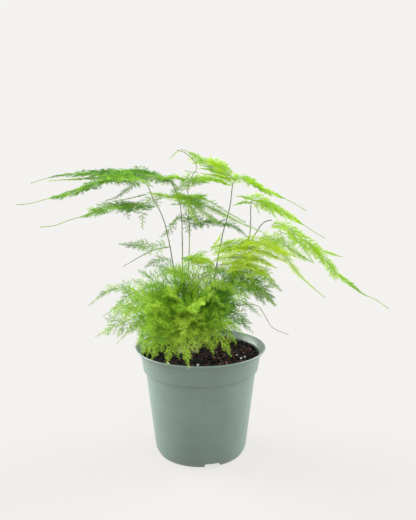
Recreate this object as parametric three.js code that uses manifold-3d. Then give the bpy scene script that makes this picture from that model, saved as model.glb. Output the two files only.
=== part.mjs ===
// A potted asparagus fern: a plastic grower pot, its soil, the plant's crown, and the wiry stems
// and flat feathery fronds that rise from it.  Millimetres, +Z up.  The origin is the middle of
// the pot's foot, on the surface that the pot stands on.  +X is to the right, +Y to the back.
import * as THREE from 'three';
import { mergeVertices } from 'three/addons/utils/BufferGeometryUtils.js';
import Module from 'manifold-3d';

const wasm = await Module();
wasm.setup();

// ---- Driving dimensions ----
const RIM_RADIUS = 52.5; // outer edge of the flared lip
const POT_HEIGHT = 88;
const BAND_TOP_RADIUS = 48.5; // the upright band under the lip
const BAND_FOOT_RADIUS = 46.5;
const BAND_DEPTH = 18;
const WALL_TOP_RADIUS = 44.6; // the tapered wall under the band
const WALL_FOOT_RADIUS = 37.3;
const FOOT_RADIUS = 34.8; // outer edge of the ring that the pot stands on
const FOOT_RING_WIDTH = 4.5;
const FOOT_ROUND_HEIGHT = 6.5; // the rounded turn from wall to foot
const WALL = 1.5;
const FLOOR_UNDERSIDE = 2.6;
const FLOOR_TOP = 4.1;
const ROUND_SEGMENTS = 40;

const DRAIN_COUNT = 4;
const DRAIN_FIRST_ANGLE = -74; // degrees from +X, so one drain faces the front
const DRAIN_SLOT_WIDTH = 13;
const DRAIN_SLOT_HEIGHT = 3.2;
const DRAIN_SLOT_LENGTH = 14;
const FLOOR_HOLE_RADIUS = 4;

const SOIL_LEVEL = 79; // at the wall
const SOIL_MOUND = 1.6; // how much higher it is around the crown
const GAP = 0.35; // between pieces that touch

const CROWN = { x: -10, y: 4, radius: 9, height: 4 };

const STEM_RADIUS = 0.7;
const STEM_SIDES = 6;
const TWIG_RADIUS = 0.5;
const FROND_SIDES = 6;
const FROND_HALF_THICKNESS = 1.9;

// ---- Materials ----
const plastic = (color) => new THREE.MeshStandardMaterial({ color, roughness: 0.42, metalness: 0 });
const matte = (color) => new THREE.MeshStandardMaterial({ color, roughness: 0.85, metalness: 0 });
const POT_GREEN = '#7f968a';
const SOIL_BLACK = '#1e1814';
const CROWN_BROWN = '#7a6a45';
const STEM_GREEN = '#5f7540';
const FROND_GREEN = '#6fa32c';
const NEW_FROND_GREEN = '#9acb1e';

// ---- Routes of the stems, from the crown up ----
const STEMS = {
  stem_left: [[-16, 7, 86], [-19, 8, 112], [-20, 8, 136], [-25, 8, 170], [-30, 8, 191],
    [-37, 8, 205], [-42, 8, 217]],
  stem_centre: [[-13, 12, 86], [-15, 16, 122], [-15, 18, 168], [-16, 18, 196], [-20, 18, 211],
    [-23, 18, 217]],
  stem_right: [[-4, 5, 86], [4, 4, 112], [10, 2, 138], [14, 0, 161], [18, 0, 181], [23, 0, 200],
    [25, 0, 219]],
  stem_far_right: [[-3, 1, 86], [9, -1, 112], [22, -3, 140], [32, -6, 160], [43, -8, 181],
    [49, -9, 189], [55, -10, 191]],
  stem_upper_right: [[-5, 10, 86], [12, 13, 121], [30, 12, 150], [39, 10, 175], [40, 10, 201]],
  new_shoot: [[-9, 9, 87], [-10, 11, 130], [-9, 10, 180], [-10, 8, 214], [-6, 5, 225],
    [-3, 3, 230], [-5, 2, 236], [-12, 2, 242], [-18, 2, 244]],
};

// Bare twigs that have lost their needles.
const TWIGS = {
  bare_twig_left: [[-27, 5, 166], [-45, -6, 163], [-60, -12, 155]],
  bare_twig_right: [[5, 3, 93], [17, 4, 106], [34, 2, 119], [46, 1, 121], [60, 0, 109],
    [73, 0, 97]],
};

// ---- Fronds: the line of the midrib, and half the widest breadth ----
const HIGH_FRONDS = {
  frond_top_left: { rib: [[-44, 8, 219], [-56, 4, 222], [-78, 0, 222], [-107, -8, 212],
    [-130, -12, 203], [-141, -14, 203]], breadth: 15 },
  frond_top_left_back: { rib: [[-26, 20, 219], [-50, 29, 226], [-83, 35, 226], [-120, 35, 222],
    [-142, 33, 217]], breadth: 13 },
  frond_top_centre: { rib: [[-20, 20, 219], [-4, 25, 222], [9, 24, 219], [24, 17, 215]],
    breadth: 6 },
  frond_left: { rib: [[-40, 6, 207], [-54, -8, 205], [-68, -16, 203], [-93, -26, 196],
    [-119, -32, 190]], breadth: 11 },
  frond_left_small: { rib: [[-28, 6, 173], [-47, -5, 175], [-65, -14, 174]], breadth: 6 },
  frond_top_right: { rib: [[27, 0, 221], [40, 3, 220], [59, 8, 211], [84, 12, 196]],
    breadth: 12 },
  frond_top_right_back: { rib: [[24, 3, 222], [11, 10, 229], [2, 16, 234], [-10, 20, 240]],
    breadth: 8 },
  frond_upper_right: { rib: [[42, 11, 203], [50, 14, 205], [66, 20, 196], [90, 26, 184]],
    breadth: 10 },
  frond_right_long: { rib: [[57, -10, 191], [70, -14, 185], [84, -20, 174], [101, -26, 156],
    [120, -29, 135], [142, -30, 127]], breadth: 15 },
  frond_right_inner: { rib: [[45, -9, 180], [61, -13, 176], [72, -18, 168], [83, -22, 158]],
    breadth: 6 },
  frond_right_hanging: { rib: [[46, -13, 178], [61, -31, 169], [73, -40, 155], [89, -46, 139]],
    breadth: 7 },
};

const MIDDLE_FRONDS = {
  frond_bright_right: { rib: [[16, -3, 166], [36, -22, 172], [62, -42, 163]], breadth: 11 },
  frond_bright_right_low: { rib: [[14, -4, 156], [34, -26, 157], [61, -50, 146]],
    breadth: 11 },
  frond_inner_high: { rib: [[-8, 4, 208], [7, -5, 203], [26, -18, 196], [46, -31, 187]],
    breadth: 6 },
  frond_inner_dark: { rib: [[-28, 5, 188], [-9, -3, 188], [8, -8, 187], [28, -20, 184],
    [40, -30, 179]], breadth: 5 },
  frond_inner_low: { rib: [[-9, 7, 160], [0, -8, 161], [11, -21, 155]], breadth: 5 },
  frond_back_high: { rib: [[-14, 21, 200], [-10, 40, 206], [-6, 59, 201], [0, 75, 192]],
    breadth: 12 },
};

const LOW_FRONDS = {
  low_frond_left_top: { rib: [[-18, 2, 89], [-29, -2, 118], [-38, -7, 140], [-47, -10, 150]],
    breadth: 8 },
  low_frond_left_high: { rib: [[-20, -1, 88], [-38, -3, 117], [-58, -13, 134], [-77, -18, 137]],
    breadth: 9 },
  low_frond_left_mid: { rib: [[-20, 7, 86], [-42, 13, 108], [-65, 20, 120], [-90, 25, 119]],
    breadth: 10 },
  low_frond_left_low: { rib: [[-19, -5, 86], [-40, -18, 104], [-58, -24, 112],
    [-79, -27, 105]], breadth: 9 },
  low_frond_left_front: { rib: [[-16, -7, 85], [-31, -26, 93], [-45, -40, 98],
    [-61, -49, 95]], breadth: 7 },
  low_frond_over_left_rim: { rib: [[-22, 4, 85], [-35, 6, 93], [-46, 8, 97], [-56, 10, 92]],
    breadth: 6 },
  low_frond_over_front_rim: { rib: [[-13, -7, 88], [-17, -27, 102], [-22, -43, 106],
    [-28, -57, 100]], breadth: 8 },
  low_frond_front: { rib: [[-10, -7, 85], [-9, -28, 93], [-8, -44, 96], [-9, -57, 92]],
    breadth: 5 },
  low_frond_over_soil: { rib: [[-4, -6, 85], [6, -20, 93], [14, -31, 95], [23, -42, 92]],
    breadth: 5 },
  low_frond_front_high: { rib: [[-8, -6, 90], [-9, -25, 119], [-6, -46, 135], [-2, -74, 138]],
    breadth: 10 },
  low_frond_front_left_high: { rib: [[-15, -5, 89], [-26, -23, 113], [-34, -41, 123],
    [-41, -60, 125]], breadth: 9 },
  low_frond_right_high: { rib: [[-2, -3, 89], [17, -15, 118], [38, -21, 137], [62, -22, 139]],
    breadth: 9 },
  low_frond_right_mid: { rib: [[1, 7, 88], [20, 14, 110], [40, 18, 120], [61, 20, 117]],
    breadth: 8 },
  low_frond_right_low: { rib: [[1, -2, 86], [14, -9, 102], [28, -15, 111], [45, -16, 112]],
    breadth: 8 },
  low_frond_right_back: { rib: [[0, 12, 86], [16, 24, 96], [30, 34, 100], [45, 41, 95]],
    breadth: 7 },
  low_frond_back: { rib: [[-8, 15, 86], [-5, 34, 101], [-3, 54, 109], [0, 75, 106]],
    breadth: 12 },
  low_frond_back_left: { rib: [[-14, 15, 89], [-25, 35, 115], [-38, 52, 126], [-53, 67, 121]],
    breadth: 11 },
  low_frond_back_right: { rib: [[-4, 14, 89], [10, 34, 118], [24, 50, 130], [42, 66, 124]],
    breadth: 11 },
};

const group = new THREE.Group();

function addPiece(name, geometry, material) {
  const mesh = new THREE.Mesh(geometry, material);
  mesh.name = name;
  group.add(mesh);
}

// ---- Booleans ----
function welded(geometry) {
  const bare = geometry.clone();
  bare.deleteAttribute('normal');
  bare.deleteAttribute('uv');
  return mergeVertices(bare, 1e-4);
}

function toSolid(geometry) {
  const bare = welded(geometry);
  return new wasm.Manifold(new wasm.Mesh({
    numProp: 3,
    vertProperties: new Float32Array(bare.attributes.position.array),
    triVerts: new Uint32Array(bare.index.array),
  }));
}

function toGeometry(solid) {
  const mesh = solid.getMesh();
  const geometry = new THREE.BufferGeometry();
  geometry.setAttribute('position', new THREE.BufferAttribute(mesh.vertProperties, 3));
  geometry.setIndex(new THREE.BufferAttribute(mesh.triVerts, 1));
  geometry.computeVertexNormals();
  return geometry;
}

// ---- Pot ----
// A profile is a list of [radius, height] pairs, turned about the pot's axis.
function turned(profile) {
  const points = profile.map(([radius, height]) => new THREE.Vector2(radius, height));
  return new THREE.LatheGeometry(points, ROUND_SEGMENTS).rotateX(Math.PI / 2);
}

const bandFoot = POT_HEIGHT - BAND_DEPTH;
const footRingInside = FOOT_RADIUS - FOOT_RING_WIDTH;

function potShell() {
  return turned([
    [0, FLOOR_UNDERSIDE],
    [footRingInside - 1, FLOOR_UNDERSIDE],
    [footRingInside, 0],
    [FOOT_RADIUS, 0],
    [FOOT_RADIUS + 1.4, 1.6],
    [WALL_FOOT_RADIUS - 0.4, 3.8],
    [WALL_FOOT_RADIUS, FOOT_ROUND_HEIGHT],
    [WALL_TOP_RADIUS, bandFoot - 0.6],
    [BAND_FOOT_RADIUS, bandFoot],
    [BAND_TOP_RADIUS, POT_HEIGHT - 5],
    [BAND_TOP_RADIUS + 1.2, POT_HEIGHT - 2.6],
    [RIM_RADIUS, POT_HEIGHT - 1],
    [RIM_RADIUS, POT_HEIGHT],
    [RIM_RADIUS - 2.6, POT_HEIGHT],
    [BAND_TOP_RADIUS - 0.6, POT_HEIGHT - 2],
    [BAND_TOP_RADIUS - WALL, POT_HEIGHT - 5],
    [BAND_FOOT_RADIUS - WALL, bandFoot + 0.6],
    [WALL_TOP_RADIUS - WALL, bandFoot - 1],
    [WALL_FOOT_RADIUS - WALL, FOOT_ROUND_HEIGHT + 1],
    [WALL_FOOT_RADIUS - WALL - 1.6, FLOOR_TOP],
    [0, FLOOR_TOP],
  ]);
}

// Slots through the foot ring and round holes in the floor let the water out.
function drainCuts() {
  const cuts = [];
  for (let i = 0; i < DRAIN_COUNT; i += 1) {
    const turn = THREE.MathUtils.degToRad(DRAIN_FIRST_ANGLE + (i * 360) / DRAIN_COUNT);
    const slot = new THREE.BoxGeometry(DRAIN_SLOT_LENGTH, DRAIN_SLOT_WIDTH, DRAIN_SLOT_HEIGHT * 2);
    cuts.push(slot.translate(FOOT_RADIUS, 0, 0).rotateZ(turn));
    const hole = new THREE.CylinderGeometry(FLOOR_HOLE_RADIUS, FLOOR_HOLE_RADIUS, 12, 12);
    cuts.push(hole.rotateX(Math.PI / 2).translate(footRingInside - 9, 0, 3).rotateZ(turn + 0.7));
  }
  return cuts;
}

function nurseryPot() {
  let solid = toSolid(potShell());
  for (const cut of drainCuts()) {
    solid = solid.subtract(toSolid(cut));
  }
  return toGeometry(solid);
}

// ---- Soil: it fills the pot to just under the lip ----
function innerRadiusAt(height) {
  const share = (height - bandFoot) / (POT_HEIGHT - 5 - bandFoot);
  return BAND_FOOT_RADIUS - WALL + share * (BAND_TOP_RADIUS - BAND_FOOT_RADIUS);
}

function pottingSoil() {
  return turned([
    [0, FLOOR_TOP + GAP],
    [WALL_FOOT_RADIUS - WALL - 2.4, FLOOR_TOP + GAP],
    [WALL_FOOT_RADIUS - WALL - GAP, FOOT_ROUND_HEIGHT + 2],
    [WALL_TOP_RADIUS - WALL - GAP, bandFoot - 1],
    [BAND_FOOT_RADIUS - WALL - GAP, bandFoot + 0.8],
    [innerRadiusAt(SOIL_LEVEL - 1) - GAP, SOIL_LEVEL - 1],
    [innerRadiusAt(SOIL_LEVEL) - 2.5, SOIL_LEVEL],
    [30, SOIL_LEVEL + 0.4 * SOIL_MOUND],
    [20, SOIL_LEVEL + SOIL_MOUND],
    [0, SOIL_LEVEL + SOIL_MOUND],
  ]);
}

// ---- Crown: the low woody knob on the soil that every stem rises from ----
function rootCrown() {
  const foot = SOIL_LEVEL + SOIL_MOUND + GAP;
  const points = [
    [0, 0],
    [CROWN.radius * 0.85, 0],
    [CROWN.radius, CROWN.height * 0.3],
    [CROWN.radius * 0.8, CROWN.height * 0.75],
    [CROWN.radius * 0.4, CROWN.height],
    [0, CROWN.height],
  ].map(([radius, height]) => new THREE.Vector2(radius, height));
  return new THREE.LatheGeometry(points, 14)
    .rotateX(Math.PI / 2)
    .translate(CROWN.x, CROWN.y, foot);
}

// ---- Stems and twigs: thin tubes along their routes ----
function curveThrough(points) {
  return new THREE.CatmullRomCurve3(points.map((p) => new THREE.Vector3(...p)), false, 'centripetal');
}

function polygon(radius, sides) {
  const shape = new THREE.Shape();
  for (let i = 0; i < sides; i += 1) {
    const turn = (i * 2 * Math.PI) / sides;
    const x = radius * Math.cos(turn);
    const y = radius * Math.sin(turn);
    if (i === 0) {
      shape.moveTo(x, y);
    } else {
      shape.lineTo(x, y);
    }
  }
  shape.closePath();
  return shape;
}

function tubeAlong(points, radius) {
  return new THREE.ExtrudeGeometry(polygon(radius, STEM_SIDES), {
    extrudePath: curveThrough(points),
    steps: points.length * 3,
    bevelEnabled: false,
  });
}

// ---- Fronds: a flat spray, widest a third of the way out and ending in a thin bare tip ----
function outlineAt(share) {
  return Math.sin(Math.PI * share ** 0.62) ** 1.1 * (1 - 0.35 * share);
}

// A closed cylinder is bent along the midrib, flattened, and given the frond's outline.
function frondAlong(points, breadth) {
  const rib = curveThrough(points);
  const steps = points.length * 2 + 2;
  const geometry = welded(new THREE.CylinderGeometry(1, 1, 1, FROND_SIDES, steps));
  const position = geometry.attributes.position;
  const up = new THREE.Vector3(0, 0, 1);
  for (let i = 0; i < position.count; i += 1) {
    const share = THREE.MathUtils.clamp(position.getY(i) + 0.5, 0, 1);
    const along = rib.getTangentAt(share);
    const across = new THREE.Vector3().crossVectors(along, up).normalize();
    const above = new THREE.Vector3().crossVectors(across, along).normalize();
    const body = Math.max(0, outlineAt(share));
    const halfBreadth = TWIG_RADIUS + breadth * body;
    const halfThickness = TWIG_RADIUS + (FROND_HALF_THICKNESS - TWIG_RADIUS) * Math.sqrt(body);
    const place = rib.getPointAt(share)
      .addScaledVector(across, position.getX(i) * halfBreadth)
      .addScaledVector(above, position.getZ(i) * halfThickness);
    position.setXYZ(i, place.x, place.y, place.z);
  }
  geometry.computeVertexNormals();
  return geometry;
}

addPiece('nursery_pot', nurseryPot(), plastic(POT_GREEN));
addPiece('potting_soil', pottingSoil(), matte(SOIL_BLACK));
addPiece('root_crown', rootCrown(), matte(CROWN_BROWN));

for (const [name, route] of Object.entries(STEMS)) {
  addPiece(name, tubeAlong(route, STEM_RADIUS), matte(STEM_GREEN));
}
for (const [name, route] of Object.entries(TWIGS)) {
  addPiece(name, tubeAlong(route, TWIG_RADIUS), matte(STEM_GREEN));
}
for (const [fronds, colour] of [
  [HIGH_FRONDS, FROND_GREEN],
  [MIDDLE_FRONDS, NEW_FROND_GREEN],
  [LOW_FRONDS, FROND_GREEN],
]) {
  for (const [name, frond] of Object.entries(fronds)) {
    addPiece(name, frondAlong(frond.rib, frond.breadth), matte(colour));
  }
}

export default group;
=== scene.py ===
import math
import random

import bmesh
import bpy
import numpy as np
from bpy.props import (
    FloatProperty,
    FloatVectorProperty,
    IntProperty,
    PointerProperty,
)
from mathutils import Matrix, Vector, noise


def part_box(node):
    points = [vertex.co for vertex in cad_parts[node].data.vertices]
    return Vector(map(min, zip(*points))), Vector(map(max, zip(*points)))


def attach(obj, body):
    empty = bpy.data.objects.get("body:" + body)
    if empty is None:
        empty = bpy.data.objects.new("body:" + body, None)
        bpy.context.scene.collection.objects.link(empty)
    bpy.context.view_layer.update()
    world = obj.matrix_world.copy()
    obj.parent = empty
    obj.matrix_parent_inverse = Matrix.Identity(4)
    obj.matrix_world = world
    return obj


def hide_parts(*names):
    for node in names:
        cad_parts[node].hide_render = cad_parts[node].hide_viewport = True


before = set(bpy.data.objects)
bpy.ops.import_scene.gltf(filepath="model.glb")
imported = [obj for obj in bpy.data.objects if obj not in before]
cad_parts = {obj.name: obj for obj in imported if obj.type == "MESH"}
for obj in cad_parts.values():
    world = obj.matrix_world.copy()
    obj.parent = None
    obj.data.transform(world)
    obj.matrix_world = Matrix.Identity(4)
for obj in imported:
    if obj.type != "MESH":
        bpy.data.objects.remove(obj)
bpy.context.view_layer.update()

bl_info = {
    "name": "Potted Asparagus Fern",
    "version": (1, 0, 0),
    "blender": (4, 5, 0),
    "location": "View3D > Sidebar > Fern",
    "description": "Builds a young asparagus fern with feathery fronds in a plastic grower pot",
    "category": "Add Mesh",
}

MM = 0.001
ROOT = "root"
UP = Vector((0.0, 0.0, 1.0))
NEEDLE_MAP = "needle_tone"
EXPORT_MAP = "OFBake"
TWIG_BAND = 0.12  # the lowest part of the needle map holds the twigs' colour
DARKEST, LIGHTEST = 0.16, 0.985  # where the tones of the needles start and end on the map
NEEDLE_EDGE = 0.012  # half the height that one needle takes up on the map

POT_STEPS = 104
WALL = 1.3 * MM
BAND_HEIGHT = 18 * MM
DRAIN_TURNS = [-74 + 90 * k for k in range(4)]  # degrees from +X
SLOT_PLACE = 34.8 * MM  # from the pot's axis to the middle of a drain slot
SLOT_SIZE = (14 * MM, 13 * MM, 6.4 * MM)
FLOOR_HOLE_PLACE = 21.3 * MM
FLOOR_HOLE_RADIUS = 4 * MM

SOIL_STEPS, SOIL_RINGS = 110, 44
SOIL_RADIUS = 46.0 * MM
MOUND_RISE, MOUND_RADIUS = 1.0 * MM, 34 * MM  # the low mound at the crown
BANK_RISE, BANK_START, BANK_WIDTH = 1.6 * MM, 30 * MM, 12 * MM  # the bank at the wall
LUMP_RISE, LUMP_SCALE = 0.9 * MM, 90

FLOOR_HALF = 60.0  # half the width of the floor, in metres
CAMERA_PLACE = (5.9 * MM, -500 * MM, 241.4 * MM)
CAMERA_LENS = 44.3
CAMERA_PITCH = 9.45  # degrees below level

# ---- Routes in millimetres, from the crown outwards ----
STEMS = {
    "stem_left": [(-16, 7, 86), (-19, 8, 112), (-20, 8, 136), (-25, 8, 170), (-30, 8, 191),
                  (-37, 8, 205), (-42, 8, 217)],
    "stem_centre": [(-13, 12, 86), (-15, 16, 122), (-15, 18, 168), (-16, 18, 196),
                    (-20, 18, 211), (-23, 18, 217)],
    "stem_right": [(-4, 5, 86), (4, 4, 112), (10, 2, 138), (14, 0, 161), (18, 0, 181),
                   (23, 0, 200), (25, 0, 219)],
    "stem_far_right": [(-3, 1, 86), (9, -1, 112), (22, -3, 140), (32, -6, 160), (43, -8, 181),
                       (49, -9, 189), (55, -10, 191)],
    "stem_upper_right": [(-5, 10, 86), (12, 13, 121), (30, 12, 150), (39, 10, 175),
                         (40, 10, 201)],
    "new_shoot": [(-9, 9, 87), (-10, 11, 130), (-9, 10, 180), (-10, 8, 214), (-6, 5, 225),
                  (-3, 3, 230), (-5, 2, 236), (-12, 2, 242), (-18, 2, 244)],
}
TWIGS = {
    "bare_twig_left": [(-25, 5, 168), (-38, -2, 166), (-49, -8, 161), (-60, -12, 155)],
    "bare_twig_right": [(-4, 3, 93), (12, 4, 112), (32, 2, 121), (45, 1, 121), (51, 0, 114),
                        (58, 0, 103), (71, 0, 97)],
}

# Each frond is one or more sprays. A spray is the line of its midrib, how far its side sprays
# reach, the share of the line that they cover, how light it is (-1 to 1: partly its own tone,
# partly painted shade on inner, back and underside sprays and painted light on sprays that
# face the light), how far its flat side leans to the front in degrees, and how open it is
# (1 is dense, 2 has half the sprays).
HIGH_FRONDS = {
    "frond_top_left": [
        ([(-40, 8, 218), (-51, 4, 222), (-66, 0, 223), (-80, -4, 219), (-94, -8, 214),
          (-105, -12, 210), (-118, -14, 207), (-129, -15, 204),
          (-140, -15, 203)], 19, 0.76, -0.1, 11, 1),
        ([(-49, 4, 219), (-58, 0, 213), (-65, -4, 208),
          (-72, -6, 206)], 5, 1, -0.1, 25, 1.9),
    ],
    "frond_top_left_back": [
        ([(-26, 20, 219), (-41, 26, 224), (-54, 30, 226), (-75, 34, 226), (-96, 35, 225),
          (-115, 35, 224), (-132, 34, 220), (-141, 33, 217)], 19, 0.86, -0.1, 8, 1),
        ([(-74, 34, 223), (-96, 34, 221), (-113, 34, 220),
          (-125, 33, 219)], 5, 1, 0.1, 8, 1),
        ([(-33, 20, 220), (-23, 19, 222), (-9, 18, 221)], 7, 1, -0.05, 10, 1),
        ([(-36, 24, 223), (-26, 20, 220), (-18, 18, 214)], 6, 1, -0.05, 10, 1),
    ],
    "frond_top_centre": [
        ([(-22, 18, 210), (-16, 20, 215), (-9, 22, 220), (3, 23, 222), (14, 21, 220),
          (24, 19, 216)], 11, 1, 0.1, 20, 0.8),
        ([(-12, 19, 219), (-20, 18, 223), (-31, 16, 222)], 7, 1, -0.1, 15, 1),
    ],
    "frond_left": [
        ([(-38, 6, 208), (-43, 2, 203), (-50, -6, 202), (-65, -14, 201), (-77, -20, 199),
          (-84, -23, 196), (-96, -27, 193), (-107, -30, 189),
          (-118, -32, 188)], 16, 0.66, -0.05, 16, 1),
        ([(-42, 4, 210), (-55, -2, 207), (-68, -8, 205)], 3, 0.6, -0.1, 0, 1),
        ([(-46, -3, 201), (-45, -5, 194), (-45, -6, 184)], 4, 1, -0.1, 60, 2.4),
        ([(-57, -8, 200), (-56, -10, 196), (-55, -11, 192)], 4, 1, -0.1, 60, 2.4),
    ],
    "frond_left_small": [
        ([(-28, 6, 171), (-40, -2, 169), (-52, -8, 171),
          (-63, -14, 173)], 9, 0.95, -0.1, 35, 1.7),
        ([(-23, 8, 155), (-31, 2, 159), (-37, -4, 157),
          (-43, -8, 154)], 7, 1, -0.1, 35, 1.7),
    ],
    "frond_top_right": [
        ([(25, 0, 222), (33, 2, 222), (40, 3, 219), (48, 5, 215), (59, 7, 210),
          (73, 10, 203), (85, 12, 196)], 15, 0.66, 0.1, 15, 1),
    ],
    "frond_top_right_back": [
        ([(28, 2, 221), (19, 5, 227), (11, 8, 232), (2, 12, 236), (-6, 16, 241),
          (-16, 18, 245)], 15, 0.85, 0.1, 20, 1),
        ([(28, 0, 220), (18, 3, 229), (10, 5, 234), (4, 6, 236)], 11, 1, 0.2, 22, 1),
        ([(25, 2, 221), (14, 4, 224), (1, 6, 226)], 5, 1, 0.15, 10, 1),
        ([(22, 4, 224), (11, 6, 228), (0, 8, 230)], 4, 1, 0.15, 10, 1),
        ([(-17, 2, 244), (-20, 1, 241), (-23, 0, 238)], 2, 1, -0.2, 10, 1.6),
        ([(-2, 4, 227), (-7, 3, 227), (-11, 2, 228)], 1, 1, -0.2, 10, 1.5),
    ],
    "frond_upper_right": [
        ([(39, 11, 202), (44, 13, 205), (52, 14, 202), (62, 16, 197), (75, 19, 190),
          (90, 22, 180), (103, 25, 172)], 16, 0.68, 0.05, 20, 1),
        ([(42, 12, 205), (35, 11, 207), (29, 10, 208)], 5, 1, 0.05, 10, 1),
        ([(41, 12, 203), (34, 9, 203), (27, 8, 201)], 5, 1, 0.05, 10, 1),
        ([(44, 13, 201), (46, 14, 197), (47, 15, 194)], 3, 1, -0.2, 20, 2),
    ],
    "frond_right_long": [
        ([(56, -10, 189), (64, -13, 187), (71, -16, 182), (80, -20, 175), (90, -23, 167),
          (102, -26, 153), (113, -28, 145), (123, -29, 137), (132, -30, 133),
          (142, -30, 126)], 12, 0.82, 0, 16, 0.9),
        ([(61, -12, 190), (61, -20, 181), (63, -26, 172)], 6, 1, 0.1, 40, 2.4),
        ([(68, -14, 187), (73, -24, 177), (79, -30, 169),
          (84, -33, 162)], 7, 1, 0.1, 40, 2.4),
        ([(78, -18, 180), (84, -26, 172), (92, -31, 162)], 7, 1, 0.1, 40, 2.1),
        ([(92, -22, 169), (99, -24, 167), (106, -26, 165)], 4, 1, 0, 10, 1),
    ],
    "frond_right_inner": [
        ([(48, -9, 180), (55, -12, 177), (65, -16, 172), (74, -19, 166),
          (85, -22, 160)], 10, 0.95, 0.2, 25, 1.2),
        ([(50, -12, 179), (57, -20, 172), (66, -26, 166)], 8, 1, 0.2, 30, 1.3),
    ],
    "frond_right_hanging": [
        ([(47, -13, 179), (56, -25, 172), (64, -33, 165), (70, -38, 157), (79, -43, 148),
          (91, -46, 138)], 6, 0.85, 0.1, 30, 1.2),
    ],
}
MIDDLE_FRONDS = {
    "frond_bright_right": [
        ([(8, -3, 169), (27, -12, 173), (41, -22, 175), (55, -32, 172),
          (70, -38, 167)], 10, 1, 0.3, 22, 0.75),
        ([(10, -8, 165), (30, -18, 170), (46, -28, 169),
          (63, -36, 163)], 10, 1, 0.35, 22, 0.75),
        ([(11, -6, 160), (30, -16, 163), (43, -26, 163),
          (56, -34, 158)], 10, 1, 0.3, 24, 0.75),
        ([(15, -8, 156), (33, -18, 158), (43, -28, 156),
          (53, -34, 150)], 9, 1, 0.2, 28, 0.8),
        ([(10, 0, 169), (13, -2, 174), (16, -3, 179)], 5, 1, 0.1, 10, 1),
    ],
    "frond_bright_right_low": [
        ([(22, -6, 153), (35, -18, 154), (46, -30, 152),
          (59, -44, 143)], 10, 1, -0.2, 32, 1),
        ([(28, -14, 150), (39, -24, 147), (48, -34, 141),
          (55, -40, 131)], 10, 1, -0.3, 35, 1),
        ([(25, -10, 150), (33, -20, 146), (42, -30, 139),
          (48, -36, 131)], 9, 1, -0.4, 35, 1),
    ],
    "frond_inner_high": [
        ([(-20, 6, 210), (-11, 4, 208), (0, 0, 203), (14, -8, 197), (30, -18, 190),
          (46, -28, 184)], 5, 1, -0.05, 22, 1.2),
        ([(-11, 2, 207), (0, -4, 198), (11, -10, 191), (21, -14, 187)], 6, 1, 0, 28, 1.2),
        ([(-10, 4, 209), (6, -2, 205), (21, -10, 197),
          (34, -18, 190)], 4, 1, -0.05, 20, 1.5),
        ([(-22, 6, 211), (-14, 2, 207), (-8, -2, 200), (-3, -5, 190),
          (1, -7, 184)], 7, 1, 0.1, 38, 1),
        ([(-13, 3, 206), (-24, 4, 208), (-41, 6, 211)], 7, 1, 0.05, 20, 0.9),
    ],
    "frond_inner_dark": [
        ([(-24, 5, 186), (-16, 0, 192), (-4, -4, 190), (11, -12, 189), (24, -22, 188),
          (36, -30, 180)], 9, 1, -0.35, 22, 1.2),
        ([(-20, 2, 188), (-26, 0, 181), (-31, -2, 177)], 5, 1, -0.25, 40, 1.8),
        ([(-11, -2, 188), (-10, -4, 183), (-8, -5, 178)], 4, 1, -0.3, 40, 1.8),
    ],
    "frond_inner_low": [
        ([(-13, 7, 159), (-6, 0, 161), (3, -8, 160), (10, -14, 157)], 8, 1, 0.25, 14, 0.6),
        ([(-13, 5, 157), (-5, -2, 158), (4, -9, 157)], 7, 1, 0.15, 14, 0.7),
        ([(-8, 3, 156), (1, -6, 154), (11, -12, 152)], 7, 1, -0.35, 35, 1.5),
    ],
    "frond_back_high": [
        ([(-14, 21, 200), (-10, 40, 206), (-6, 59, 201),
          (0, 75, 192)], 14, 0.98, -0.15, 0, 1.3),
    ],
}
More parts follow.
